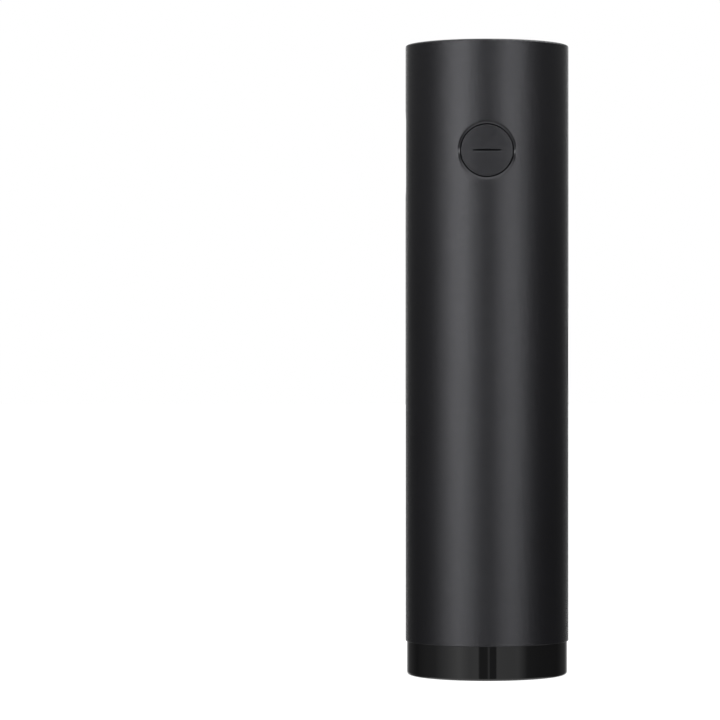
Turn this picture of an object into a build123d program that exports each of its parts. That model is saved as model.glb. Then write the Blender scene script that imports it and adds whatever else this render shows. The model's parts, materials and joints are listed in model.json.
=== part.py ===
from build123d import *

import math
import os

# Cordless electric wine opener: a plain upright cylinder that stands on the mouth its bottle enters.
# Millimetres, +Z up, origin at the bottom centre, button facing -Y, window facing +X.

# ---- Driving dimensions -------------------------------------------------------------------------
# Bottle and cork
neck_bore_r = 15.6
neck_depth = 43.2
mouth_z = 0.8
mouth_chamfer = 1.5
mouth_flare = 1.2
lip_step = 1.0
pad_height = 1.5
pad_gap = 0.2
sleeve_head = 3.5
sleeve_wall = 1.8
sleeve_rib_width = 1.6
cork_bore_r = 12.75
cork_length = 47.0
cork_wall = 1.5
cork_rib_reach = 4.5
cork_rib_width = 1.6

# Worm and its feed
worm_r = 4.5
wire_r = 1.4
tip_r = 0.21
tip_turns = 0.6
worm_pitch = 10.0
worm_length = 60.0
worm_seat = 3.0
feed_travel = 18.0
groove_run_on = 15.0
feed_wall = 2.2
lug_r = 1.5
lug_root = 3.0
lug_reach = 11.0
lug_height = 5.5
carriage_r = 6.52
carriage_length = 9.0
carriage_dip = 2.0
carriage_edge = 0.5
carriage_recess = 2.0
drive_wall = 2.0
disc_height = 1.8
washer_height = 0.5

# Planetary gearbox, two equal stages
module = 0.5
pressure_angle = 25.0
sun_teeth = 9
planet_teeth = 18
planet_count = 3
face_width = 5.0
flank_play = 0.035
flank_points = 5
addendum = 0.8 * module
dedendum = 1.05 * module
pin_r = 0.75
pin_end = 0.1
carrier_plate = 2.8
carrier_rim = 3.3
carrier_bore_r = 0.6
scallop_r = 3.2
scallop_offset = 4.6
sun_overhang = 0.2
ring_wall = 1.4
case_tab_height = 2.0
case_tab_width = 4.4
floor_plate = 2.5
lid_plate = 2.2
output_shaft_r = 3.5
bush_wall = 1.4
square_width = 4.6
spindle_screw_length = 4.0

# Motor
motor_r = 12.2
motor_length = 28.8
can_wall = 0.8
can_face = 1.0
can_round = 0.8
boss_r = 3.0
boss_height = 1.4
motor_screw_r = 8.0
motor_screw_length = 3.4
shaft_r = 1.0
shaft_end = 0.5
end_cap_height = 2.0
end_cap_rim = 1.2
end_cap_hub_r = 4.0
end_cap_spigot = 2.0
end_cap_hollow_r = 6.0
end_cap_skin = 0.6
magnet_bore_r = 8.4
magnet_split = 6.0
magnet_inset = 3.0
rotor_r = 7.8
rotor_slot = 1.2
rotor_slot_depth = 4.5
rotor_low = 4.0
rotor_high = 5.0

# Battery, board and leads
battery_width = 17.0
battery_thickness = 6.1
battery_length = 45.0
battery_round = 1.2
board_thickness = 1.0
board_depth = 5.4
board_margin = 1.4
board_rise = 0.6
switch_width = 6.0
switch_height = 3.5
switch_stem = 0.9
plunger_r = 1.7
plunger_root = 1.0
chip_size = 5.0
chip_height = 1.0
bridge_width = 3.8
bridge_height = 1.1
coil_height = 2.0
capacitor_size = 1.0
capacitor_height = 0.6
socket_width = 8.94
socket_height = 3.2
socket_wall = 0.3
socket_depth = 6.4
socket_rise = 0.9
tongue_width = 6.6
tongue_height = 0.7
lamp_r = 0.8
lamp_offset = 9.0
lead_r = 0.6
lead_spread = 5.5
lead_root = 4.5
lead_rise = 1.8
lead_splay = 1.65
lead_step = 1.56
lead_bend_share = 0.45
battery_lead_spread = 2.0
headroom = 8.9

# Frame and screws
flange_height = 2.5
flange_room = 4.6
flange_gap = 0.4
frame_drop = 0.2
frame_head_width = 3.4
frame_screw_inset = 2.6
post_depth = 3.2
post_inset = 0.2
post_width = 3.2
guide_inside = 1.2
guide_outside = 1.1
guide_front = 0.9
guide_back = 1.2
socket_bay = 12.0
screw_r = 1.0
screw_head_r = 1.9
screw_head_height = 1.4
screw_head_round = 0.4
screw_slot_width = 0.5
screw_slot_length = 2.4
screw_slot_depth = 0.6
foot_screw_length = 5.0
foot_screw_floor = 3.0
joint_screw_length = 4.6
upper_screw_length = 7.0
case_screw_length = 3.6
case_screw_floor = 0.6

# Shell, base ring and cap
wall = 2.25
ring_height = 10.0
ring_inset = 0.4
ring_round = 0.9
ring_mouth_edge = 0.4
spigot_height = 4.5
foot_seat = 2.0
foot_flange = 2.0
foot_tab_r = 2.4
seam = 0.05
top_round = 0.5
bottom_round = 0.15
cap_thickness = 1.6
cap_drop = 0.1
cap_wall = 1.0
cap_gap = 0.1
cap_round = 0.3
cap_skirt_height = 2.0
cap_skirt_wall = 1.3

# Button
button_rise = 7.3
button_hole_r = 7.87
button_gap = 0.32
rim_bevel_width = 0.68
rim_bevel_depth = 0.4
rim_round = 0.7
button_face_round = 0.15
button_travel = 0.5
button_crown_r = 60.0
button_drop = 0.5
button_face = 2.2
button_skirt = 1.5
button_flange = 1.5
button_flange_height = 0.8
button_post_r = 1.4
mark_length = 8.1
mark_width = 0.78
mark_bevel = 0.3
mark_deep = 0.5
mark_shallow = 0.22
guide_wall = 2.6
guide_reach = 2.6

# Window
window_width = 9.6
window_height = 29.2
window_round = 0.3
window_drop = 1.45
lens_lip = 1.5
lens_lip_depth = 1.2
lens_drop = 0.05
lens_round = 0.3

# Foil cutter and its pocket
cutter_rise = 0.1
cutter_width = 28.2
cutter_height = 27.3
cutter_corner = 4.5
cutter_gap = 0.3
cutter_drop = 0.2
cutter_round = 0.25
cutter_skin = 0.8
wheel_r = 3.5
wheel_thickness = 0.6
wheel_edge = 0.1
wheel_bite = 1.0
wheel_angle = 25.0
wheel_side_gap = 0.4
wheel_edge_gap = 0.6
wheel_tray_gap = 0.4
axle_r = 0.75
axle_length = 9.0
magnet_r = 2.0
magnet_thickness = 1.5
magnet_offset = 9.0
magnet_sink = 0.2
tray_wall = 1.0
tray_side_wall = 1.6
tray_foot = 5.0
tray_case_gap = 0.425
plate_thickness = 0.5
plate_sink = 0.15

# Directions round the axis, in degrees from +X
button_polar = 270.0
window_polar = 0.0
cutter_polar = 150.0
battery_polar = 20.0
post_polar = 65.0
foot_screw_polar = 90.0
neck_screw_polar = 30.0
cork_screw_polar = 60.0
upper_screw_polar = 80.0
case_screw_polar = 97.0
motor_screw_polar = 90.0

# Clearances
seat_gap = 0.05
press_gap = 0.02
running_gap = 0.05
thrust_gap = 0.3
side_gap = 0.3
groove_gap = 0.2
carriage_gap = 0.08
lift_gap = 0.4
stage_gap = 0.4
planet_gap = 0.5
lid_gap = 0.9
bay_gap = 1.1
screw_gap = 0.1
head_gap = 0.15
notch_gap = 0.2
recess_gap = 0.6
port_gap = 0.2
solder_gap = 0.1
over = 1.0

# ---- Derived sizes ------------------------------------------------------------------------------
ring_teeth = sun_teeth + 2 * planet_teeth
centre_distance = module * (sun_teeth + planet_teeth) / 2
case_r = module * ring_teeth / 2 + dedendum + ring_wall
case_screw_r = case_r + screw_head_r + head_gap
bush_r = output_shaft_r + bush_wall

tray_r = case_r + tray_case_gap + tray_wall
cutter_inner_r = tray_r + wheel_tray_gap + wheel_bite
wheel_centre_r = tray_r + wheel_tray_gap + wheel_r
battery_r0 = max(motor_r + bay_gap, case_r + side_gap)

neck_room = neck_bore_r + sleeve_wall + flange_room
battery_room = math.hypot(battery_r0 + battery_thickness, battery_width / 2) + 2 * side_gap
cutter_room = wheel_centre_r + wheel_r + wheel_edge_gap + cutter_skin + cutter_drop - wall
board_room = case_r + side_gap + coil_height + board_thickness + board_depth
bore_r = max(neck_room, battery_room, cutter_room, board_room)
body_r = bore_r + wall
flange_r = bore_r - flange_gap
cutter_r = body_r - cutter_drop
sleeve_r = neck_bore_r + sleeve_wall
foot_screw_r = sleeve_r + screw_head_r + head_gap
frame_screw_r = flange_r - frame_screw_inset

bore_z0 = mouth_z + mouth_chamfer
shoulder_z = bore_z0 + neck_depth
neck_top = shoulder_z + sleeve_head
cork_top = neck_top + cork_length
carriage_z = cork_top + feed_travel - carriage_dip
carriage_top = carriage_z + carriage_length
lug_z = carriage_z + lug_height
drive_inner_r = carriage_r + carriage_gap
drive_r = drive_inner_r + drive_wall
disc_z = carriage_top + lift_gap
drive_top = disc_z + disc_height
feed_top = drive_top + washer_height + thrust_gap
feed_bore_r = drive_r + side_gap
groove_r = lug_reach + side_gap
feed_r = groove_r + feed_wall

gear_z = feed_top + floor_plate
carrier_2_z = gear_z + stage_gap
planet_2_z = carrier_2_z + carrier_plate + planet_gap
carrier_1_z = planet_2_z + face_width + stage_gap
planet_1_z = carrier_1_z + carrier_plate + planet_gap
case_top = planet_1_z + face_width + lid_gap
motor_z = case_top + lid_plate
motor_top = motor_z + motor_length
end_cap_top = motor_top + end_cap_height
height = end_cap_top + headroom

foot_z = ring_height - foot_seat + seat_gap
foot_top = foot_z + foot_flange
shell_z = ring_height + seam
cap_z = height - cap_drop - cap_thickness
frame_top = cap_z - cap_skirt_height - frame_drop
button_z = motor_z + button_rise
cutter_z = button_z + cutter_rise
window_z = cork_top - window_drop

board_y = -(bore_r - board_depth)
board_back = board_y + board_thickness
board_half = math.sqrt((flange_r - guide_front) ** 2 - board_y**2) - board_margin
board_z0 = gear_z + flange_height + 2 * side_gap
board_z1 = frame_top + board_rise
socket_y = board_back + socket_height / 2
battery_z = gear_z + flange_height + side_gap


# ---- Shared shapes ------------------------------------------------------------------------------
def rod(radius, z0, z1):
    """Upright cylinder from z0 to z1."""
    return Pos(0, 0, (z0 + z1) / 2) * Cylinder(radius, z1 - z0)


def bore(radius, z0, z1):
    """Cylinder to cut right through from z0 to z1."""
    return rod(radius, z0 - over, z1 + over)


def tube(outer, inner, z0, z1):
    """Upright tube from z0 to z1."""
    return rod(outer, z0, z1) - bore(inner, z0, z1)


def block(x0, x1, y0, y1, z0, z1):
    """Box between two corners."""
    return Pos((x0 + x1) / 2, (y0 + y1) / 2, (z0 + z1) / 2) * Box(x1 - x0, y1 - y0, z1 - z0)


def plate(x0, x1, width, z0, z1):
    """Box from x0 to x1, centred on Y."""
    return block(x0, x1, -width / 2, width / 2, z0, z1)


def side(polar, z):
    """Frame on the axis at z: local Z points out at the polar angle and local Y points up."""
    return Pos(0, 0, z) * Rot(0, 0, polar + 90) * Rot(90, 0, 0)


def side_prism(sketch, polar, z, u0, u1):
    """A sketch drawn on the side of the body, extruded outwards from u0 to u1."""
    return side(polar, z) * (Pos(0, 0, u0) * extrude(sketch, amount=u1 - u0))


def side_cut(sketch, polar, z, u0=0.0):
    """A sketch drawn on the side of the body, extruded from u0 to past its surface."""
    return side_prism(sketch, polar, z, u0, body_r + over)


def ring_of(shape, count, radius, start=0.0):
    """Copies of an upright shape round the axis, each turned with its place."""
    return [Rot(0, 0, start + i * 360 / count) * (Pos(radius, 0, 0) * shape) for i in range(count)]


def outer_edges(shape, radius, polar, z, reach):
    """Edges on the cylinder of the given radius that lie round a point of its side."""
    angle = math.radians(polar)
    centre = Vector(radius * math.cos(angle), radius * math.sin(angle), z)
    found = []
    for edge in shape.edges():
        points = [edge @ t for t in (0.0, 0.25, 0.5, 0.75, 1.0)]
        on_side = all(abs(math.hypot(p.X, p.Y) - radius) < 0.01 for p in points)
        if on_side and all((p - centre).length < reach for p in points):
            found.append(edge)
    return found


def end_circles(shape, radius):
    """Circular edges of the given radius, from the lowest up."""
    circles = shape.edges().filter_by(GeomType.CIRCLE)
    return circles.filter_by(lambda e: abs(e.radius - radius) < 0.01).sort_by(Axis.Z)


def screw(z_head, length):
    """Pan-head screw on the Z axis: underside of the head at z_head, shank downwards."""
    top = z_head + screw_head_height
    head = rod(screw_head_r, z_head, top)
    head = fillet(head.edges().group_by(Axis.Z)[-1], screw_head_round)
    half = screw_slot_length / 2
    slot = plate(-half, half, screw_slot_width, top - screw_slot_depth, top + over)
    cross = slot + Rot(0, 0, 90) * slot
    return head + rod(screw_r, z_head - length, z_head) - cross


def screw_holes(count, radius, z0, z1, start):
    """Clearance holes for a ring of screws."""
    return ring_of(rod(screw_r + screw_gap, z0, z1), count, radius, start)


def lead(points):
    """Insulated wire along straight runs joined by arcs."""
    bends = []
    for a, b, c in zip(points, points[1:], points[2:]):
        before = Vector(*b) - Vector(*a)
        after = Vector(*c) - Vector(*b)
        half_turn = math.radians(before.get_angle(after)) / 2
        bends.append(lead_bend_share * min(before.length, after.length) / math.tan(half_turn))
    path = FilletPolyline(*points, radius=bends)
    section = Plane(origin=path @ 0, z_dir=path % 0) * Circle(lead_r)
    return sweep(section, path=path)


# ---- Gears --------------------------------------------------------------------------------------
def involute(base, radius):
    """Polar angle of the involute of a base circle where it reaches a radius."""
    reach = math.sqrt(max((radius / base) ** 2 - 1, 0))
    return reach - math.atan(reach)


def tooth_profile(teeth, root, tip, play, phase):
    """Closed outline of a spur gear, with one tooth centred on the phase angle in degrees."""
    pitch = module * teeth / 2
    base = pitch * math.cos(math.radians(pressure_angle))
    half = math.pi / (2 * teeth) - play / pitch
    at_pitch = involute(base, pitch)
    low = max(root, base)
    radii = [low + (tip - low) * i / (flank_points - 1) for i in range(flank_points)]
    flank = [(r, half + at_pitch - involute(base, r)) for r in radii]
    if root < base:
        flank.insert(0, (root, flank[0][1]))
    points = []
    for tooth in range(teeth):
        middle = math.radians(phase) + 2 * math.pi * tooth / teeth
        points += [(r, middle - a) for r, a in flank]
        points += [(r, middle + a) for r, a in reversed(flank)]
    return [(r * math.cos(a), r * math.sin(a)) for r, a in points]


def spur_gear(teeth, z0, z1, bore_radius, phase):
    """External gear with a plain bore."""
    pitch = module * teeth / 2
    outline = tooth_profile(teeth, pitch - dedendum, pitch + addendum, flank_play, phase)
    body = extrude(make_face(Polyline(*outline, close=True)), amount=z1 - z0)
    return Pos(0, 0, z0) * body - bore(bore_radius, z0, z1)


def ring_gear_case():
    """Gearbox case with the internal teeth that both stages share."""
    pitch = module * ring_teeth / 2
    phase = 180 / ring_teeth
    space = tooth_profile(ring_teeth, pitch - addendum, pitch + dedendum, -flank_play, phase)
    cavity = extrude(make_face(Polyline(*space, close=True)), amount=case_top - gear_z + 2 * over)
    case = rod(case_r, gear_z, case_top) - Pos(0, 0, gear_z - over) * cavity
    tab_top = gear_z + case_tab_height
    tab = plate(-ring_wall / 2, 2 * screw_head_r, case_tab_width, gear_z, tab_top)
    for place in ring_of(tab, 3, case_r, case_screw_polar):
        case += place
    for hole in screw_holes(3, case_screw_r, gear_z - over, tab_top + over, case_screw_polar):
        case -= hole
    return case


def planet(z0, index):
    """Planet at rest, with a tooth gap facing the axis."""
    angle = 360 / planet_count * index
    gear = spur_gear(planet_teeth, z0, z0 + face_width, pin_r + running_gap, 180 / planet_teeth)
    return Rot(0, 0, angle) * (Pos(centre_distance, 0, 0) * gear)


def carrier(z0):
    """Planet carrier plate, rounded between its planet seats."""
    top = z0 + carrier_plate
    disc = rod(centre_distance + carrier_rim, z0, top)
    scallop = bore(scallop_r, z0, top)
    for place in ring_of(scallop, planet_count, centre_distance + scallop_offset, 180 / planet_count):
        disc -= place
    for hole in ring_of(bore(pin_r, z0, top), planet_count, centre_distance):
        disc -= hole
    return disc


def planet_pins(z0):
    """The three pins pressed into a carrier."""
    top = z0 + carrier_plate + planet_gap + face_width + pin_end
    return ring_of(rod(pin_r, z0 + pin_end, top), planet_count, centre_distance)


# ---- Base and bottle end ------------------------------------------------------------------------
def base_ring():
    """Gloss foot ring with the spigot that the shell slips over."""
    top = ring_height + spigot_height
    seat_z = ring_height - foot_seat
    ring = rod(body_r - ring_inset, 0, ring_height)
    ring = fillet(ring.edges().group_by(Axis.Z)[0], ring_round)
    ring += rod(bore_r - seat_gap, seat_z, top)
    ring -= bore(sleeve_r + seat_gap, 0, top)
    ring -= rod(bore_r - wall, seat_z, top + over)
    for hole in screw_holes(3, foot_screw_r, foot_screw_floor, ring_height, foot_screw_polar):
        ring -= hole
    notch = rod(foot_tab_r + notch_gap, seat_z, top + over)
    for place in ring_of(notch, 3, foot_screw_r, foot_screw_polar):
        ring -= place
    lip = ring.edges().filter_by(GeomType.CIRCLE).group_by(Axis.Z)[0]
    return chamfer(lip.sort_by(SortBy.RADIUS)[0], ring_mouth_edge)


def neck_sleeve():
    """Sleeve for the bottle neck, with its foot flange, ribs and stop shoulder."""
    joint_z = neck_top - flange_height
    inner_foot_r = bore_r - wall - seat_gap
    sleeve = rod(sleeve_r, mouth_z, neck_top)
    sleeve += rod(inner_foot_r, foot_z, foot_top)
    sleeve += rod(flange_r, joint_z, neck_top)
    for place in ring_of(rod(foot_tab_r, foot_z, foot_top), 3, foot_screw_r, foot_screw_polar):
        sleeve += place
    rib = plate(-over, bore_r - wall - side_gap - sleeve_r, sleeve_rib_width, foot_z, neck_top)
    for place in ring_of(rib, 6, sleeve_r):
        sleeve += place
    sleeve -= rod(neck_bore_r, -over, shoulder_z)
    sleeve -= rod(neck_bore_r - lip_step, shoulder_z - over, shoulder_z + pad_height)
    sleeve -= rod(cork_bore_r, shoulder_z, neck_top + over)
    flare = Cone(neck_bore_r + mouth_flare, neck_bore_r, mouth_chamfer)
    sleeve -= Pos(0, 0, mouth_z + mouth_chamfer / 2) * flare
    for hole in screw_holes(3, foot_screw_r, foot_z - over, foot_top + over, foot_screw_polar):
        sleeve -= hole
    for hole in screw_holes(3, frame_screw_r, joint_z - over, neck_top + over, neck_screw_polar):
        sleeve -= hole
    return sleeve


def neck_pad():
    """Soft pad that the bottle's lip stops against."""
    outer_r = neck_bore_r - lip_step - seat_gap
    return tube(outer_r, cork_bore_r + pad_gap, shoulder_z, shoulder_z + pad_height - seat_gap)


def cork_tube():
    """Tube that the drawn cork rises into, open behind the window."""
    outer_r = cork_bore_r + cork_wall
    foot_top_z = neck_top + flange_height
    head_z = cork_top - flange_height
    body = rod(outer_r, neck_top, cork_top)
    body += rod(flange_r, neck_top, foot_top_z)
    body += rod(flange_r, head_z, cork_top)
    rib = plate(-over, cork_rib_reach, cork_rib_width, neck_top, cork_top)
    for place in ring_of(rib, 4, outer_r, 45):
        body += place
    body -= bore(cork_bore_r, neck_top, cork_top)
    body -= lens_relief()
    low = window_z - window_height / 2
    body -= plate(0, outer_r + over, window_width, low, head_z)
    for hole in screw_holes(3, frame_screw_r, neck_top - over, foot_top_z + over, neck_screw_polar):
        body -= hole
    for hole in screw_holes(3, frame_screw_r, head_z - over, cork_top + over, cork_screw_polar):
        body -= hole
    return body


def lens_relief():
    """Room for the window lens in the frame's flanges."""
    half = window_width / 2 + lens_lip + side_gap
    low = math.sqrt((bore_r - seat_gap - lens_lip_depth) ** 2 - half**2) - side_gap
    reach = window_height / 2 + lens_lip + side_gap
    return plate(low, body_r, 2 * half, window_z - reach, window_z + reach)


# ---- Feed and worm ------------------------------------------------------------------------------
def feed_groove():
    """One start of the right-hand feed groove, ending in line with the resting lug."""
    run_on = worm_pitch * groove_run_on / 360
    path = Helix(worm_pitch, feed_travel + run_on, (feed_bore_r + groove_r) / 2)
    depth = groove_r - feed_bore_r + over
    width = 2 * (lug_r + groove_gap)
    section = Plane(origin=path @ 0, x_dir=(1, 0, 0), z_dir=path % 0)
    outline = section * (Pos(-over / 2, 0) * Rectangle(depth, width))
    groove = sweep(outline, path=path, is_frenet=True)
    return Rot(0, 0, -360 * feed_travel / worm_pitch) * (Pos(0, 0, lug_z - feed_travel) * groove)


def feed_sleeve():
    """Fixed sleeve with two helical grooves and the ring groove that they end in."""
    foot_top_z = cork_top + flange_height
    head_z = feed_top - flange_height
    body = rod(feed_r, cork_top, feed_top)
    body += rod(flange_r, cork_top, foot_top_z)
    body += rod(flange_r, head_z, feed_top)
    body -= bore(feed_bore_r, cork_top, feed_top)
    body -= lens_relief()
    groove = feed_groove()
    body -= groove
    body -= Rot(0, 0, 180) * groove
    half = lug_r + groove_gap
    low_z = lug_z - feed_travel
    body -= rod(groove_r, low_z - half, low_z + half)
    for hole in screw_holes(3, frame_screw_r, cork_top - over, foot_top_z + over, cork_screw_polar):
        body -= hole
    for hole in screw_holes(3, frame_screw_r, head_z - over, feed_top + over, upper_screw_polar):
        body -= hole
    return body


def square_end(gap):
    """Square end of the output shaft, grown by a gap."""
    width = square_width + 2 * gap
    return Pos(0, 0, disc_z + disc_height / 2) * Box(width, width, disc_height + 2 * gap)


def drive_tube():
    """Slotted tube that turns the worm carriage and lets it slide."""
    low = cork_top + thrust_gap
    body = rod(drive_r, low, drive_top)
    body -= rod(drive_inner_r, low - over, disc_z)
    width = 2 * (lug_r + groove_gap)
    slot = SlotOverall(feed_travel + width, width, rotation=90)
    for polar in (0, 180):
        body -= side_prism(slot, polar, lug_z - feed_travel / 2, 0, drive_r + over)
    return body - square_end(seat_gap)


def worm():
    """Round-wire helix with a drawn-out point, its top set into the carriage."""
    helix_r = worm_r - wire_r
    tip_z = carriage_z - worm_length
    tip_height = tip_turns * worm_pitch
    main = Helix(worm_pitch, worm_length + worm_seat - tip_height, helix_r)
    section = Plane(origin=main @ 0, z_dir=main % 0) * Circle(wire_r)
    coil = Pos(0, 0, tip_z + tip_height) * sweep(section, path=main, is_frenet=True)
    point = Helix(worm_pitch, tip_height, helix_r)
    ends = [
        Plane(origin=point @ 0, z_dir=point % 0) * Circle(tip_r),
        Plane(origin=point @ 1, z_dir=point % 1) * Circle(wire_r),
    ]
    taper = sweep(ends, path=point, multisection=True, is_frenet=True)
    return coil + Pos(0, 0, tip_z) * Rot(0, 0, -360 * tip_turns) * taper


def worm_carriage(worm_solid):
    """Carriage moulded round the worm's top, bored for its two lugs."""
    body = rod(carriage_r, carriage_z, carriage_top)
    body = chamfer(body.edges().filter_by(GeomType.CIRCLE), carriage_edge)
    for polar in (0, 180):
        body -= side_prism(Circle(lug_r + press_gap), polar, lug_z, lug_root, carriage_r + over)
    body -= rod(screw_head_r + recess_gap, carriage_top - carriage_recess, carriage_top + over)
    return body - worm_solid


def carriage_lugs():
    """Two hard pins that run in the drive tube's slots and the feed grooves."""
    return [side_prism(Circle(lug_r), polar, lug_z, lug_root, lug_reach) for polar in (0, 180)]


# ---- Gearbox and motor --------------------------------------------------------------------------
def output_plate():
    """Gearbox floor, carrying the output bush."""
    disc = rod(flange_r, feed_top, gear_z) - bore(bush_r + seat_gap, feed_top, gear_z)
    for hole in screw_holes(3, frame_screw_r, feed_top - over, gear_z + over, upper_screw_polar):
        disc -= hole
    floor_z = feed_top + case_screw_floor
    for hole in screw_holes(3, case_screw_r, floor_z, gear_z + over, case_screw_polar):
        disc -= hole
    return disc


def output_bush():
    """Sintered bush for the output shaft."""
    return tube(bush_r, output_shaft_r + running_gap, feed_top, gear_z)


def thrust_washer():
    """Washer that takes the worm's upward push."""
    return tube(drive_inner_r, output_shaft_r + side_gap, feed_top - washer_height, feed_top)


def output_carrier():
    """Second-stage carrier with the output shaft and its square end."""
    body = carrier(carrier_2_z) + rod(output_shaft_r, drive_top, carrier_2_z)
    body += square_end(0)
    return body - rod(screw_r + seat_gap, disc_z - over, disc_z + spindle_screw_length + lift_gap)


def spindle_screw():
    """Screw that holds the drive tube on the output shaft, head downwards."""
    return Pos(0, 0, disc_z) * Rot(180, 0, 0) * screw(0, spindle_screw_length)


def first_carrier():
    """First-stage carrier, one piece with the second-stage sun gear."""
    body = carrier(carrier_1_z) - bore(carrier_bore_r, carrier_1_z, carrier_1_z + carrier_plate)
    low = planet_2_z - sun_overhang
    return body + spur_gear(sun_teeth, low, carrier_1_z + carrier_plate / 2, carrier_bore_r, 0)


def motor_mount():
    """Gearbox lid that the motor is screwed to."""
    disc = rod(case_r, case_top, motor_z) - bore(boss_r + seat_gap, case_top, motor_z)
    for hole in screw_holes(2, motor_screw_r, case_top - over, motor_z + over, motor_screw_polar):
        disc -= hole
    sink = rod(screw_head_r + screw_gap, case_top - over, case_top + screw_head_height)
    for place in ring_of(sink, 2, motor_screw_r, motor_screw_polar):
        disc -= place
    return disc


def motor_screws():
    """Two screws up into the motor's face."""
    turned = Rot(180, 0, 0) * screw(0, motor_screw_length)
    sunk = Pos(0, 0, case_top + screw_head_height) * turned
    return ring_of(sunk, 2, motor_screw_r, motor_screw_polar)


def motor_can():
    """Steel can with its bearing boss and screw holes."""
    face_z = motor_z + can_face
    can = rod(motor_r, motor_z, motor_top)
    can = fillet(can.edges().group_by(Axis.Z)[0], can_round)
    can -= rod(motor_r - can_wall, face_z, motor_top + over)
    can += rod(boss_r, motor_z - boss_height, face_z)
    for hole in screw_holes(2, motor_screw_r, motor_z - over, face_z + over, motor_screw_polar):
        can -= hole
    return can - bore(shaft_r + running_gap, motor_z - boss_height, face_z)


def motor_end_cap():
    """Moulded end cap with the rear bearing."""
    cap = rod(motor_r, motor_top, motor_top + end_cap_rim)
    cap += rod(end_cap_hub_r, motor_top, end_cap_top)
    cap += rod(motor_r - can_wall - seat_gap, motor_top - end_cap_spigot, motor_top)
    cap -= rod(end_cap_hollow_r, motor_top - end_cap_spigot - over, motor_top - end_cap_skin)
    return cap - bore(shaft_r + running_gap, motor_top - end_cap_skin, end_cap_top)


def motor_magnets():
    """Two arc magnets inside the can."""
    low = motor_z + magnet_inset
    high = motor_top - magnet_inset
    ring = tube(motor_r - can_wall - seat_gap, magnet_bore_r, low, high)
    half = magnet_split / 2
    return ring - block(-half, half, -motor_r, motor_r, motor_z, motor_top)


def rotor_core():
    """Three-pole armature on the shaft."""
    low = motor_z + rotor_low
    high = motor_top - rotor_high
    core = tube(rotor_r, shaft_r + press_gap, low, high)
    for slot in ring_of(plate(-rotor_slot_depth, over, rotor_slot, low - over, high + over), 3, rotor_r):
        core -= slot
    return core


def motor_shaft():
    """Motor shaft down through the first-stage sun gear."""
    return rod(shaft_r, planet_1_z, end_cap_top + shaft_end)


def motor_pinion():
    """First-stage sun gear, pressed on the motor shaft."""
    return spur_gear(sun_teeth, planet_1_z, case_top - thrust_gap, shaft_r + press_gap, 0)


# ---- Frame, board and battery -------------------------------------------------------------------
def upper_frame():
    """Cage round the motor: a foot ring, a head ring and three posts, two grooved for the board."""
    foot_inner = case_screw_r + screw_head_r + head_gap
    foot_top_z = gear_z + flange_height
    frame = tube(flange_r, foot_inner, gear_z, foot_top_z)
    frame += tube(flange_r, flange_r - frame_head_width, frame_top - flange_height, frame_top)
    outside = flange_r - post_inset
    frame += Rot(0, 0, post_polar) * plate(outside - post_depth, outside, post_width, gear_z, frame_top)
    for turn in (-1, 1):
        x0, x1 = sorted((turn * (board_half - guide_inside), turn * (board_half + guide_outside)))
        frame += block(x0, x1, board_y - guide_front, board_back + guide_back, gear_z, frame_top)
    half = board_half + 2 * seat_gap
    low = board_z0 - seat_gap
    frame -= block(-half, half, board_y - seat_gap, board_back + seat_gap, low, frame_top + over)
    bay = socket_bay / 2
    bay_z = frame_top - flange_height - over
    frame -= block(-bay, bay, -bore_r, board_y + bay, bay_z, frame_top + over)
    for hole in screw_holes(3, frame_screw_r, gear_z - over, foot_top_z + over, upper_screw_polar):
        frame -= hole
    return frame


def control_board():
    """Circuit board standing behind the button."""
    return block(-board_half, board_half, board_y, board_back, board_z0, board_z1)


def mounted(x, z, width, length, depth):
    """Component soldered to the back of the board, its lower edge at z."""
    return block(x - width / 2, x + width / 2, board_back, board_back + depth, z, z + length)


def board_parts():
    """Chips, inductor and capacitors soldered to the back of the board."""
    z = board_z0 + chip_size
    parts = [mounted(0, z + chip_size / 2, chip_size, chip_size, chip_height)]
    for x in (-bridge_width - switch_stem, bridge_width + switch_stem):
        parts.append(mounted(x, z + 2 * chip_size, bridge_width, bridge_width, bridge_height))
    parts.append(mounted(0, z + 4 * chip_size, chip_size, chip_size, coil_height))
    for place in range(-2, 3):
        x = 3 * capacitor_size * place
        parts.append(mounted(x, z - capacitor_size, capacitor_size, capacitor_size, capacitor_height))
    return parts


def switch_body():
    """Tactile switch on the front of the board."""
    half = switch_width / 2
    front = board_y - switch_height
    body = block(-half, half, front, board_y, button_z - half, button_z + half)
    hole = Circle(plunger_r + running_gap)
    return body - side_prism(hole, button_polar, button_z, plunger_root - board_y, over - front)


def usb_socket():
    """Upright charging socket on the back of the board, its mouth in the cap."""
    z0 = cap_z - socket_depth
    length = socket_depth + socket_rise
    outer = SlotOverall(socket_width, socket_height)
    inner = SlotOverall(socket_width - 2 * socket_wall, socket_height - 2 * socket_wall)
    shell = extrude(outer, amount=length) - Pos(0, 0, over) * extrude(inner, amount=length)
    half = tongue_width / 2
    tongue = plate(-half, half, tongue_height, over / 2, length - socket_rise)
    return Pos(0, socket_y, z0) * (shell + tongue)


def battery_cell():
    """Flat lithium cell standing beside the motor."""
    high = battery_z + battery_length
    pouch = plate(battery_r0, battery_r0 + battery_thickness, battery_width, battery_z, high)
    return Rot(0, 0, battery_polar) * fillet(pouch.edges().filter_by(Axis.Z), battery_round)


def motor_leads():
    """Two leads from the motor's end cap to the board."""
    z = motor_top + end_cap_rim
    rise = z + lead_rise
    end = board_back + lead_r + solder_gap
    leads = []
    for side in (-1, 1):
        x = side * lead_spread
        board_x = side * (lead_spread + lead_splay)
        leads.append(lead([(x, -lead_root, z), (x, -lead_root, rise), (board_x, end, rise)]))
    return leads


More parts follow.
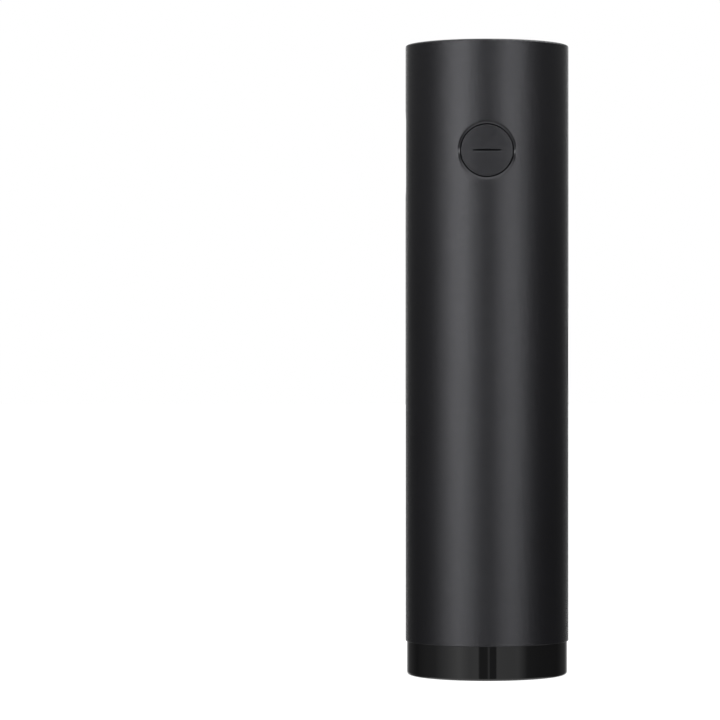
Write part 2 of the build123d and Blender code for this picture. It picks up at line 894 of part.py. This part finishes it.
def battery_leads():
    """Two leads from the cell's top to the board."""
    z = battery_z + battery_length
    middle = battery_r0 + battery_thickness / 2
    end = board_back + lead_r + solder_gap
    over_motor = motor_top + end_cap_rim + 2 * lead_rise
    turn = math.radians(battery_polar)
    leads = []
    for shift, rise in ((-battery_lead_spread, over_motor), (battery_lead_spread, over_motor + lead_step)):
        x = middle * math.cos(turn) - shift * math.sin(turn)
        y = middle * math.sin(turn) + shift * math.cos(turn)
        leads.append(lead([(x, y, z), (x, y, rise), (board_half - 2 * lead_rise, end, rise)]))
    return leads


# ---- Outside ------------------------------------------------------------------------------------
def cutter_outline(grow):
    """Rounded square of the foil cutter, grown all round."""
    return RectangleRounded(cutter_width + 2 * grow, cutter_height + 2 * grow, cutter_corner + grow)


def window_outline(grow):
    """Oval of the window, grown all round."""
    return Ellipse(window_width / 2 + grow, window_height / 2 + grow)


def outer_shell():
    """One-piece sleeve of the body with its button hole, window and cutter opening."""
    shell = tube(body_r, bore_r, shell_z, height)
    shell -= rod(body_r - cap_wall, cap_z - seat_gap, height + over)
    shell -= side_cut(Circle(button_hole_r), button_polar, button_z)
    rim = outer_edges(shell, body_r, button_polar, button_z, button_hole_r + wall)
    skin = shell.faces().filter_by(GeomType.CYLINDER).sort_by(SortBy.AREA)[-1]
    shell = chamfer(rim, rim_bevel_width, rim_bevel_depth, reference=skin)
    shell -= side_cut(window_outline(0), window_polar, window_z)
    shell -= side_cut(cutter_outline(cutter_gap), cutter_polar, cutter_z)
    rims = (
        (button_polar, button_z, button_hole_r + wall, rim_round),
        (window_polar, window_z, window_height / 2 + wall, window_round),
        (cutter_polar, cutter_z, cutter_width, cutter_round),
    )
    for polar, z, reach, radius in rims:
        shell = fillet(outer_edges(shell, body_r, polar, z, reach), radius)
    shell = fillet(end_circles(shell, body_r)[-1:], top_round)
    return fillet(end_circles(shell, body_r)[:1], bottom_round)


def top_cap():
    """Flush lid with its skirt and the opening of the charging socket."""
    skirt_z = cap_z - cap_skirt_height
    skirt_r = bore_r - cap_gap
    cap = rod(body_r - cap_wall - cap_gap, cap_z, cap_z + cap_thickness)
    cap = fillet(cap.edges().group_by(Axis.Z)[-1], cap_round)
    cap += tube(skirt_r, skirt_r - cap_skirt_wall, skirt_z, cap_z)
    port = SlotOverall(socket_width + 2 * port_gap, socket_height + 2 * port_gap)
    cap -= Pos(0, socket_y, skirt_z) * extrude(port, amount=height - skirt_z + over)
    return cap - Pos(lamp_offset, socket_y, 0) * bore(lamp_r + seat_gap, cap_z, height)


def charge_lens():
    """Light pipe of the charging lamp beside the socket."""
    return Pos(lamp_offset, socket_y, 0) * rod(lamp_r, cap_z - over, cap_z + cap_thickness)


def window_lens():
    """Smoked lens that follows the body's curve, lipped behind the shell."""
    front_r = body_r - lens_drop
    lip_r = bore_r - seat_gap
    low = window_z - window_height
    high = window_z + window_height
    face = side_cut(window_outline(-seat_gap), window_polar, window_z)
    face &= tube(front_r, lip_r - lens_lip_depth, low, high)
    face = fillet(outer_edges(face, front_r, window_polar, window_z, window_height), lens_round)
    lip = side_cut(window_outline(lens_lip), window_polar, window_z)
    return face + (lip & tube(lip_r, lip_r - lens_lip_depth, low, high))


def button_guide():
    """Collar glued behind the shell that guides the button."""
    outer = Circle(button_hole_r + guide_wall)
    collar = side_prism(outer, button_polar, button_z, bore_r - guide_reach, body_r)
    half = 2 * button_hole_r
    collar &= rod(bore_r - seat_gap, button_z - half, button_z + half)
    return collar - side_cut(Circle(button_hole_r), button_polar, button_z)


def button_mark(face_u):
    """Cutter of the engraved bar: its floor slopes up to the front below a bevelled upper edge."""
    half = mark_width / 2
    section = Polyline(
        (-(face_u - mark_shallow), button_z - half),
        (-(face_u - mark_deep), button_z + half - mark_bevel),
        (-face_u, button_z + half),
        (-(body_r + over), button_z + half),
        (-(body_r + over), button_z - half),
        close=True,
    )
    bar = extrude(Plane.YZ * make_face(section), amount=mark_length)
    return Pos(-mark_length / 2, 0, 0) * bar


def button_cap():
    """Round push button with a gentle crown, a retaining flange and one plain engraved bar."""
    cap_r = button_hole_r - button_gap
    flange_u = bore_r - guide_reach - side_gap
    flange_u0 = flange_u - button_flange_height
    face_u = body_r - button_drop
    cap = side_prism(Circle(cap_r), button_polar, button_z, flange_u - press_gap, body_r)
    half = 2 * button_hole_r
    crown = rod(button_crown_r, button_z - half, button_z + half)
    cap &= Pos(0, button_crown_r - face_u, 0) * crown
    rim = [e for e in cap.edges() if max((e @ t).Y for t in (0, 0.25, 0.5, 0.75)) < -flange_u - over]
    cap = fillet(rim, button_face_round)
    flange = Circle(button_hole_r + button_flange)
    cap += side_prism(flange, button_polar, button_z, flange_u0, flange_u)
    hollow = Circle(cap_r - button_skirt)
    cap -= side_prism(hollow, button_polar, button_z, flange_u0 - over, face_u - button_face)
    post_u = -board_y + switch_height + switch_stem
    cap += side_prism(Circle(button_post_r), button_polar, button_z, post_u, face_u - button_face / 2)
    return cap - button_mark(face_u)


def switch_plunger():
    """Plunger of the tactile switch, which moves with the button."""
    low = -board_y + plunger_root + button_travel + side_gap
    high = -board_y + switch_height + switch_stem
    return side_prism(Circle(plunger_r), button_polar, button_z, low, high)


# ---- Foil cutter --------------------------------------------------------------------------------
def wheel_places():
    """Polar angles of the two cutting wheels."""
    return (cutter_polar - wheel_angle, cutter_polar + wheel_angle)


def at_wheel(polar, shape):
    """Moves an upright shape to a wheel's centre line."""
    return Rot(0, 0, polar) * (Pos(wheel_centre_r, 0, 0) * shape)


def at_magnets(radius, u0, u1):
    """Two discs, one over the other, from u0 to u1 along the cutter's direction."""
    discs = []
    for z in (cutter_z - magnet_offset, cutter_z + magnet_offset):
        discs.append(side_prism(Circle(radius), cutter_polar, z, u0, u1))
    return discs


def cutter_body():
    """Curved shoe that fits round a bottle neck and fills the opening in the shell."""
    low = cutter_z - cutter_height
    high = cutter_z + cutter_height
    body = side_cut(cutter_outline(0), cutter_polar, cutter_z)
    body &= tube(cutter_r, cutter_inner_r, low, high)
    body = fillet(outer_edges(body, cutter_r, cutter_polar, cutter_z, cutter_width), cutter_round)
    half = wheel_thickness / 2 + wheel_side_gap
    axle = axle_length / 2
    for polar in wheel_places():
        body -= at_wheel(polar, rod(wheel_r + wheel_edge_gap, cutter_z - half, cutter_z + half))
        body -= at_wheel(polar, rod(axle_r, cutter_z - axle, cutter_z + axle))
    depth = cutter_inner_r + magnet_sink + magnet_thickness + screw_gap
    for seat in at_magnets(magnet_r + seat_gap, cutter_inner_r - 2 * over, depth):
        body -= seat
    return body


def cutter_magnets():
    """Two disc magnets in the cutter's inner face."""
    low = cutter_inner_r + magnet_sink
    return at_magnets(magnet_r, low, low + magnet_thickness)


def cutter_axles():
    """Axles of the two cutting wheels."""
    low = cutter_z - axle_length / 2
    return [at_wheel(polar, rod(axle_r, low, low + axle_length)) for polar in wheel_places()]


def cutter_wheel(polar):
    """Steel cutting wheel, ground to an edge from both sides."""
    half = wheel_thickness / 2
    wheel = rod(wheel_r, cutter_z - half, cutter_z + half)
    ground = half - wheel_edge / 2
    wheel = chamfer(wheel.edges().filter_by(GeomType.CIRCLE), ground, wheel_bite)
    return at_wheel(polar, wheel - bore(axle_r + running_gap, cutter_z - half, cutter_z + half))


def cutter_tray():
    """Pocket behind the opening that the foil cutter is kept in."""
    low = cutter_z - cutter_height
    high = cutter_z + cutter_height
    outline = cutter_outline(cutter_gap + tray_side_wall)
    tray = side_prism(outline, cutter_polar, cutter_z, tray_foot, body_r)
    tray &= tube(bore_r - 2 * seat_gap, tray_r - tray_wall, low, high)
    hollow = side_cut(cutter_outline(cutter_gap), cutter_polar, cutter_z)
    tray -= hollow & tube(body_r + over, tray_r, low, high)
    floor_u = tray_r - plate_sink - plate_thickness - seat_gap
    for seat in at_magnets(magnet_r + seat_gap, floor_u, tray_r + 2 * over):
        tray -= seat
    return tray


def tray_plates():
    """Two steel discs in the pocket that hold the cutter's magnets."""
    high = tray_r - plate_sink
    return at_magnets(magnet_r, high - plate_thickness, high)


# ---- Fasteners ----------------------------------------------------------------------------------
def frame_screws():
    """Every screw that ties the frame's pieces together."""
    rings = (
        (foot_top, foot_screw_length, foot_screw_r, foot_screw_polar),
        (neck_top + flange_height, joint_screw_length, frame_screw_r, neck_screw_polar),
        (cork_top + flange_height, joint_screw_length, frame_screw_r, cork_screw_polar),
        (gear_z + flange_height, upper_screw_length, frame_screw_r, upper_screw_polar),
        (gear_z + case_tab_height, case_screw_length, case_screw_r, case_screw_polar),
    )
    screws = []
    for z, length, radius, polar in rings:
        screws += ring_of(screw(z, length), 3, radius, polar)
    return screws


# ---- Every piece --------------------------------------------------------------------------------
def all_pieces():
    """Node name to shape, or to a list of separate solids."""
    worm_solid = worm()
    pieces = {
        "outer_shell": outer_shell(),
        "base_ring": base_ring(),
        "top_cap": top_cap(),
        "charge_lens": charge_lens(),
        "window_lens": window_lens(),
        "button_guide": button_guide(),
        "neck_sleeve": neck_sleeve(),
        "neck_pad": neck_pad(),
        "cork_tube": cork_tube(),
        "feed_sleeve": feed_sleeve(),
        "output_plate": output_plate(),
        "output_bush": output_bush(),
        "thrust_washer": thrust_washer(),
        "ring_gear_case": ring_gear_case(),
        "motor_mount": motor_mount(),
        "motor_can": motor_can(),
        "motor_end_cap": motor_end_cap(),
        "motor_magnets": motor_magnets(),
        "motor_screws": motor_screws(),
        "upper_frame": upper_frame(),
        "control_board": control_board(),
        "board_parts": board_parts(),
        "switch_body": switch_body(),
        "usb_socket": usb_socket(),
        "battery_cell": battery_cell(),
        "battery_leads": battery_leads(),
        "motor_leads": motor_leads(),
        "cutter_tray": cutter_tray(),
        "tray_plates": tray_plates(),
        "frame_screws": frame_screws(),
        "button_cap": button_cap(),
        "switch_plunger": switch_plunger(),
        "cutter_body": cutter_body(),
        "cutter_magnets": cutter_magnets(),
        "cutter_axles": cutter_axles(),
        "drive_tube": drive_tube(),
        "spindle_screw": spindle_screw(),
        "output_carrier": output_carrier(),
        "output_pins": planet_pins(carrier_2_z),
        "worm": worm_solid,
        "worm_carriage": worm_carriage(worm_solid),
        "carriage_lugs": carriage_lugs(),
        "first_carrier": first_carrier(),
        "first_pins": planet_pins(carrier_1_z),
        "motor_shaft": motor_shaft(),
        "rotor_core": rotor_core(),
        "motor_pinion": motor_pinion(),
    }
    for index, polar in enumerate(wheel_places(), 1):
        pieces[f"cutter_wheel_{index}"] = cutter_wheel(polar)
    for index in range(planet_count):
        pieces[f"first_planet_{index + 1}"] = planet(planet_1_z, index)
        pieces[f"output_planet_{index + 1}"] = planet(planet_2_z, index)
    return pieces


def main():
    os.makedirs("parts", exist_ok=True)
    for name, shape in all_pieces().items():
        solids = [s for item in (shape if isinstance(shape, list) else [shape]) for s in item.solids()]
        export_step(Compound(children=solids) if len(solids) > 1 else solids[0], f"parts/{name}.step")
    print("height", round(height, 3), "body radius", body_r, "teeth", ring_teeth)


main()
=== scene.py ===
"""Looks of a cordless electric wine opener: satin black body, gloss foot ring, push button, oval window
and a foil cutter stowed in the side. Everything is in metres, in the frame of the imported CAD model."""

import json
import math

import bpy
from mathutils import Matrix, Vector


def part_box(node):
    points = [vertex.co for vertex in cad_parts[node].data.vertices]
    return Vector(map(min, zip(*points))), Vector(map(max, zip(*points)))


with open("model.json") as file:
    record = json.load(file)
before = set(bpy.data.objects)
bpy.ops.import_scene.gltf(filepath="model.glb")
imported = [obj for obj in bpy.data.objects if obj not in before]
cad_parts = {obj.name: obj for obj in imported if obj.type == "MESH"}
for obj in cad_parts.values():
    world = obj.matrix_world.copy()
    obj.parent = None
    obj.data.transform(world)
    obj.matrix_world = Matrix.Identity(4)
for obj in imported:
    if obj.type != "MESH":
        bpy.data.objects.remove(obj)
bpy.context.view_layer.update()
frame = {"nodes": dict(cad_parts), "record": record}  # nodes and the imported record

# ---- Sizes --------------------------------------------------------------------------------------
MM = 0.001
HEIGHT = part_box("outer_shell")[1].z
MIDDLE = Vector((0, 0, HEIGHT / 2))

# Camera: level, facing the button, from about a metre, with the opener right of the centre
CAMERA_DISTANCE = 0.996
CAMERA_LENS = 167.35
CAMERA_SHIFT = -0.1764

BUTTON_LOW, BUTTON_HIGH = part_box("button_cap")
RIM_INSET = 0.6 * MM  # the smooth rim ends this far inside the edge of the cap's hidden flange
BUTTON_RIM = ((BUTTON_LOW.z + BUTTON_HIGH.z) / 2, BUTTON_HIGH.x - RIM_INSET)
RIM_ROUGHNESS = 0.35  # share of the satin's roughness and grain that the rim keeps

LENS_LOW, LENS_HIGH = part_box("window_lens")
LENS_BORDER = 3.6 * MM  # hidden lip and printed border
LENS_CLEAR = ((LENS_LOW.z + LENS_HIGH.z) / 2, LENS_HIGH.y - LENS_BORDER,
              (LENS_HIGH.z - LENS_LOW.z) / 2 - LENS_BORDER)

FLOOR_HALF = 6.0

# ---- Textures -----------------------------------------------------------------------------------
TEXTURE_BAND = (0.3, 0.7)  # where nearly all of a noise texture's values lie
WHOLE_BAND = (0.0, 1.0)
FLECK_SCALE = 2400.0  # flecks of satin paint, per metre
SHADE_DRIFT = 0.14  # share by which a colour drifts darker and lighter
GRAIN_ROUGHNESS = 0.03  # added and taken away by the fine grain

# Sockets of a Mix node that mixes colours
MIX_FACTOR, MIX_FIRST, MIX_SECOND = 0, 6, 7
MIX_RESULT = 2


# ---- Node helpers -------------------------------------------------------------------------------
class Tree:
    """A node tree with short ways to add and link nodes."""

    def __init__(self, tree):
        self.tree = tree
        tree.nodes.clear()

    def add(self, kind, inputs=(), **settings):
        node = self.tree.nodes.new(kind)
        for key, value in settings.items():
            setattr(node, key, value)
        for key, value in dict(inputs).items():
            self.set(node.inputs[key], value)
        return node

    def set(self, socket, value):
        if isinstance(value, bpy.types.NodeSocket):
            self.tree.links.new(value, socket)
        else:
            socket.default_value = value

    def math(self, operation, *values, clamp=False):
        node = self.add("ShaderNodeMath", operation=operation, use_clamp=clamp)
        for socket, value in zip(node.inputs, values):
            self.set(socket, value)
        return node.outputs[0]

    def noise(self, vector, scale, detail=2.0, rough=0.5):
        inputs = {"Vector": vector, "Scale": scale, "Detail": detail, "Roughness": rough}
        return self.add("ShaderNodeTexNoise", inputs).outputs["Fac"]

    def spread(self, value, low, high, band=TEXTURE_BAND):
        """Maps a band of values onto low to high, and holds what lies beyond it at the ends."""
        ends = {"From Min": band[0], "From Max": band[1], "To Min": low, "To Max": high}
        node = self.add("ShaderNodeMapRange", ends)
        self.set(node.inputs["Value"], value)
        return node.outputs[0]

    def mix(self, factor, first, second):
        node = self.add("ShaderNodeMix", data_type="RGBA")
        self.set(node.inputs[MIX_FACTOR], factor)
        self.set(node.inputs[MIX_FIRST], first)
        self.set(node.inputs[MIX_SECOND], second)
        return node.outputs[MIX_RESULT]

    def split(self, vector):
        return self.add("ShaderNodeSeparateXYZ", {0: vector}).outputs

    def front_disc(self, vector, middle, radius):
        """One within a radius of a point on the front, at a given height, and nought elsewhere."""
        x, y, z = self.split(vector)
        across = self.math("POWER", x, 2.0)
        up = self.math("POWER", self.math("SUBTRACT", z, middle), 2.0)
        inside = self.math("LESS_THAN", self.math("ADD", across, up), radius**2)
        return self.math("MULTIPLY", inside, self.math("LESS_THAN", y, 0.0))

    def side_oval(self, vector, middle, half_width, half_height):
        """One within an oval on the side, at a given height, and nought outside it."""
        y, z = self.split(vector)[1:]
        across = self.math("POWER", self.math("DIVIDE", y, half_width), 2.0)
        up = self.math("POWER", self.math("DIVIDE", self.math("SUBTRACT", z, middle), half_height), 2.0)
        return self.math("LESS_THAN", self.math("ADD", across, up), 1.0)

    def stretched(self, vector, scale):
        return self.add("ShaderNodeMapping", {"Vector": vector, "Scale": scale}).outputs[0]


def grey(value, tint=1.0):
    """Near-neutral colour with a little more blue where tint is over 1."""
    return (value, value, value * tint, 1.0)


def shaded(color, share):
    """A colour made darker or lighter by a share, and no lighter than white."""
    return tuple(min(1.0, channel * share) for channel in color[:3]) + (1.0,)


def surface(name, color, roughness, metallic=0.0, specular=0.5, vary=0.25, patches=60.0, grain=4000.0,
            bump=0.06, grain_depth=0.02 * MM, stretch=None, flecks=0.0, rim=None, clear=None, **extra):
    """Principled material whose colour, roughness and surface vary with position.

    vary is the share by which roughness drifts over patches; grain and bump are the fine texture, and
    flecks is the share by which the shine varies from fleck to fleck. rim is the height and radius of a
    smoother round on the front. clear is the height and half sizes of a shiny oval in a dull border."""
    made = bpy.data.materials.new(name)
    made.use_nodes = True
    tree = Tree(made.node_tree)
    place = tree.add("ShaderNodeTexCoord").outputs["Object"]
    grain_place = tree.stretched(place, stretch) if stretch else place
    drift = tree.noise(place, patches, detail=4.0, rough=0.6)
    fine = tree.noise(grain_place, grain, detail=3.0, rough=0.6)
    shades = [shaded(color, 1 - SHADE_DRIFT), shaded(color, 1 + SHADE_DRIFT)]
    shade = tree.mix(tree.spread(drift, 0.0, 1.0), *shades)
    rough_drift = tree.spread(drift, roughness * (1 - vary), roughness * (1 + vary))
    rough = tree.math("ADD", rough_drift, tree.spread(fine, -GRAIN_ROUGHNESS, GRAIN_ROUGHNESS), clamp=True)
    shine = specular
    if flecks:
        fleck = tree.noise(place, FLECK_SCALE, rough=0.7)
        shine = tree.spread(fleck, specular * (1 - flecks), specular * (1 + flecks))
    if rim:
        smooth = tree.front_disc(place, *rim)
        rough = tree.math("MULTIPLY", rough, tree.spread(smooth, 1.0, RIM_ROUGHNESS, WHOLE_BAND))
        bump = tree.spread(smooth, bump, bump * RIM_ROUGHNESS, WHOLE_BAND)
    if clear:
        shine = tree.math("MULTIPLY", shine, tree.side_oval(place, *clear))
    height = tree.add("ShaderNodeBump", {"Strength": bump, "Distance": grain_depth, "Height": fine})
    shader = tree.add("ShaderNodeBsdfPrincipled", {
        "Base Color": shade, "Roughness": rough, "Metallic": metallic,
        "Specular IOR Level": shine, "Normal": height.outputs[0], **extra,
    })
    tree.add("ShaderNodeOutputMaterial", {"Surface": shader.outputs[0]})
    return made


# ---- Materials ----------------------------------------------------------------------------------
SATIN_TINT = (0.97, 0.97, 1.02, 1.0)


def satin_black(name, color, roughness, **extra):
    """Soft satin paint: fine sparkle in the grain and faint drift in its sheen."""
    return surface(name, grey(color, 1.3), roughness, specular=0.6, vary=0.06, patches=35.0, grain=5200.0,
                   bump=1.0, grain_depth=0.05 * MM, flecks=0.12, **{"Specular Tint": SATIN_TINT}, **extra)


MATERIALS = {
    "satin_black": satin_black("satin_shell", 0.004, 0.205, rim=BUTTON_RIM),
    "panel_black": satin_black("satin_panel", 0.004, 0.205),
    "button_black": satin_black("satin_button", 0.005, 0.17),
    "gloss_black": surface("gloss_ring", grey(0.002, 1.2), 0.04, specular=0.62, vary=0.3, patches=90.0,
                           grain=900.0, bump=0.02, grain_depth=0.004 * MM),
    "cap_black": surface("cap_satin", grey(0.010, 1.05), 0.1, specular=0.4, vary=0.2, grain=3000.0,
                         bump=0.05),
    "smoked_lens": surface("smoked_window", grey(0.004, 1.1), 0.05, specular=0.5, clear=LENS_CLEAR,
                           vary=0.3, grain=700.0, bump=0.02, **{"Transmission Weight": 0.05, "IOR": 1.49}),
    "lamp_lens": surface("frosted_lamp", grey(0.75, 1.03), 0.35, grain=6000.0, bump=0.2,
                         **{"Transmission Weight": 0.5}),
    "inner_black": surface("moulded_black", grey(0.018), 0.5, grain=3500.0, bump=0.4),
    "sleeve_black": surface("sleeve_plastic", grey(0.022), 0.42, grain=3000.0, bump=0.35),
    "soft_pad": surface("soft_rubber", grey(0.035), 0.75, specular=0.3, grain=5000.0, bump=0.6),
    "inner_grey": surface("moulded_grey", grey(0.2), 0.48, grain=3200.0, bump=0.35),
    "acetal_white": surface("acetal", (0.74, 0.73, 0.69, 1), 0.38, grain=2500.0, bump=0.2,
                            **{"Subsurface Weight": 0.08, "Subsurface Scale": 0.001}),
    "planet_acetal": surface("planet_plastic", (0.66, 0.66, 0.63, 1), 0.36, grain=2500.0, bump=0.2),
    "bronze": surface("sintered_bronze", (0.52, 0.34, 0.16, 1), 0.42, 1.0, grain=9000.0, bump=0.5),
    "plate_steel": surface("zinc_plate", grey(0.56, 1.02), 0.32, 1.0, grain=1500.0, bump=0.15,
                           stretch=(1.0, 1.0, 0.08)),
    "screw_steel": surface("black_zinc", grey(0.2, 1.03), 0.35, 1.0, grain=2500.0, bump=0.2),
    "pin_steel": surface("ground_steel", grey(0.62, 1.01), 0.2, 1.0, grain=2500.0, bump=0.12,
                         stretch=(0.1, 0.1, 1.0)),
    "spindle_steel": surface("sintered_steel", grey(0.42), 0.4, 1.0, grain=8000.0, bump=0.4),
    "wheel_steel": surface("wheel_ground", grey(0.66, 1.01), 0.16, 1.0, grain=2500.0, bump=0.15,
                           stretch=(1.0, 1.0, 0.05)),
    "socket_steel": surface("drawn_shell", grey(0.6, 1.01), 0.25, 1.0, grain=2500.0, bump=0.12,
                            stretch=(1.0, 1.0, 0.06)),
    "magnet_nickel": surface("nickel_plate", (0.68, 0.66, 0.61, 1), 0.14, 1.0, grain=1200.0, bump=0.1),
    "ferrite": surface("ferrite_dull", grey(0.09), 0.6, 0.4, grain=6000.0, bump=0.5),
    "worm_coat": surface("worm_coating", grey(0.03), 0.26, specular=0.6, grain=2000.0, bump=0.15),
    "carriage_black": surface("carriage_plastic", grey(0.04), 0.45, grain=3000.0, bump=0.3),
    "board_green": surface("solder_mask", (0.01, 0.12, 0.05, 1), 0.3, patches=400.0, grain=2200.0,
                           bump=0.2),
    "chip_black": surface("chip_moulding", grey(0.02), 0.55, grain=7000.0, bump=0.4),
    "battery_foil": surface("pouch_foil", grey(0.6, 1.03), 0.35, 0.9, patches=250.0, grain=900.0,
                            bump=0.3, grain_depth=0.05 * MM),
    "lead_red": surface("lead_red_skin", (0.42, 0.015, 0.012, 1), 0.4, grain=3000.0, bump=0.2),
    "lead_black": surface("lead_black_skin", grey(0.015), 0.4, grain=3000.0, bump=0.2),
}


def paint_nodes():
    """Gives every CAD node the material of its slot."""
    for part in frame["record"]["subparts"]:
        node = frame["nodes"][part["node"]]
        node.data.materials.clear()
        node.data.materials.append(MATERIALS[part["material_slot"]])


# ---- Studio -------------------------------------------------------------------------------------
# Upright lights as (angle, level): degrees round from straight behind the camera, positive to its right
LEFT_BOX = ((-80, 0.2), (-60, 0.5), (-40, 0.9), (-25, 0.6), (-12, 0.6))
STRIP = ((2, 0.5), (3, 0.5))
RIGHT_BOX = ((14, 0.6), (45, 0.6), (60, 0.15), (80, 0.1))
BACK_WALL = ((120, 0.05), (150, 0.1), (160, 0.3), (170, 0.8), (180, 0.9))  # the same on both sides
BETWEEN = 0.15  # level between the boxes
EDGE = 1.0  # width of a sharp edge, in degrees
LIGHT_TOP = 1.6  # level that the ramp's white stands for

# The middle of each side's bright core, and how far from there it has faded out
CORE_MIDDLE = math.radians(38)
CORE_SPREAD = math.radians(45)

# A direction's height is -1 straight down, 0 level and 1 straight up. A band is two such heights.
EDGE_RISE, EDGE_BAND = (1.10, 1.6), (0.0, 0.11)  # growth of the upright lights away from the cores
CORE_RISE, CORE_BAND = (0.96, 17.0), (0.01, 0.11)  # growth in the middle of the cores
DOME_LEVELS, DOME_BAND = (0.35, 1.5), (0.3, 0.6)
DOME_FROM_ABOVE = (0.11, 0.15)  # here the dome takes over from the upright lights
DOME_FROM_BELOW = (-0.75, -0.5)  # and here, further down, it takes over again
FLOOR_SHARE, FLOOR_BAND = 0.7, (-0.3, 0.3)  # what the dome keeps of its level below

FLOOR_SHADES = (grey(0.30), grey(0.34))
FLOOR_PATCHES = 3.0
FLOOR_GLOW = 0.88


def light_stops():
    """Angles and levels of all upright lights, in order round the object."""
    wall = [(side * angle, level) for side in (-1, 1) for angle, level in BACK_WALL]
    dark = (LEFT_BOX[-1][0] + EDGE, STRIP[0][0] - EDGE, STRIP[-1][0] + EDGE, RIGHT_BOX[0][0] - EDGE)
    return sorted(wall + [*LEFT_BOX, *STRIP, *RIGHT_BOX] + [(angle, BETWEEN) for angle in dark])


def upright_lights(tree, turn, up):
    """Colour of the upright lights, from how far round a direction is and how high it points."""
    ramp = tree.add("ShaderNodeValToRGB", {"Fac": tree.math("MULTIPLY_ADD", turn, 1 / (2 * math.pi), 0.5)})
    stops = ramp.color_ramp
    lights = light_stops()
    while len(stops.elements) < len(lights):
        stops.elements.new(0.5)
    for element, (degrees, level) in zip(stops.elements, lights):
        element.position = (degrees + 180) / 360
        element.color = grey(level / LIGHT_TOP)
    from_middle = tree.math("ABSOLUTE", tree.math("SUBTRACT", tree.math("ABSOLUTE", turn), CORE_MIDDLE))
    core = tree.spread(from_middle, 1.0, 0.0, (0.0, CORE_SPREAD))
    edge_rise = tree.spread(up, *EDGE_RISE, EDGE_BAND)
    core_rise = tree.spread(up, *CORE_RISE, CORE_BAND)
    rise = tree.math("MULTIPLY_ADD", core, tree.math("SUBTRACT", core_rise, edge_rise), edge_rise)
    return tree.math("MULTIPLY", ramp.outputs[0], tree.math("MULTIPLY", rise, LIGHT_TOP))


def studio_light():
    """World with two tall soft boxes and a strip in front, a pale wall behind and a dome over and under
    them. The camera itself sees plain white."""
    world = bpy.data.worlds.new("studio")
    bpy.context.scene.world = world
    world.use_nodes = True
    tree = Tree(world.node_tree)
    x, y, up = tree.split(tree.add("ShaderNodeTexCoord").outputs["Generated"])
    turn = tree.math("ARCTAN2", x, tree.math("MULTIPLY", y, -1.0))
    lights = upright_lights(tree, turn, up)
    floor_share = tree.spread(up, FLOOR_SHARE, 1.0, FLOOR_BAND)
    dome_level = tree.spread(tree.math("ABSOLUTE", up), *DOME_LEVELS, DOME_BAND)
    dome = tree.math("MULTIPLY", floor_share, dome_level)
    above = tree.spread(up, 0.0, 1.0, DOME_FROM_ABOVE)
    below = tree.spread(up, 1.0, 0.0, DOME_FROM_BELOW)
    lit = tree.mix(tree.math("ADD", above, below, clamp=True), lights, dome)
    soft = tree.add("ShaderNodeBackground", {"Color": lit, "Strength": 1.0})
    plain = tree.add("ShaderNodeBackground", {"Color": grey(1.0), "Strength": 1.0})
    seen = tree.add("ShaderNodeLightPath").outputs["Is Camera Ray"]
    both = tree.add("ShaderNodeMixShader", {0: seen, 1: soft.outputs[0], 2: plain.outputs[0]})
    tree.add("ShaderNodeOutputWorld", {"Surface": both.outputs[0]})


def floor():
    """Plain pale floor, faintly shaded where the opener stands."""
    mesh = bpy.data.meshes.new("floor")
    corners = [(x * FLOOR_HALF, y * FLOOR_HALF, 0) for x, y in ((-1, -1), (1, -1), (1, 1), (-1, 1))]
    mesh.from_pydata(corners, [], [(0, 1, 2, 3)])
    made = bpy.data.objects.new("floor", mesh)
    bpy.context.scene.collection.objects.link(made)
    paint = bpy.data.materials.new("pale_floor")
    paint.use_nodes = True
    tree = Tree(paint.node_tree)
    place = tree.add("ShaderNodeTexCoord").outputs["Object"]
    shade = tree.mix(tree.noise(place, FLOOR_PATCHES), *FLOOR_SHADES)
    diffuse = tree.add("ShaderNodeBsdfDiffuse", {"Color": shade})
    glow = tree.add("ShaderNodeEmission", {"Color": grey(1.0), "Strength": FLOOR_GLOW})
    both = tree.add("ShaderNodeAddShader", {0: diffuse.outputs[0], 1: glow.outputs[0]})
    tree.add("ShaderNodeOutputMaterial", {"Surface": both.outputs[0]})
    mesh.materials.append(paint)
    made.visible_glossy = False
    made.visible_diffuse = False


def camera():
    """Level camera at mid-height, straight on to the button."""
    lens = bpy.data.cameras.new("camera")
    lens.lens = CAMERA_LENS
    lens.shift_x = CAMERA_SHIFT
    lens.clip_start = 0.05
    lens.clip_end = 50.0
    made = bpy.data.objects.new("camera", lens)
    made.location = MIDDLE + Vector((0, -CAMERA_DISTANCE, 0))
    made.rotation_euler = (math.pi / 2, 0, 0)
    bpy.context.scene.collection.objects.link(made)
    bpy.context.scene.camera = made
    bpy.context.scene.view_settings.view_transform = "Standard"


# ---- Making -------------------------------------------------------------------------------------
camera()
studio_light()
floor()
paint_nodes()
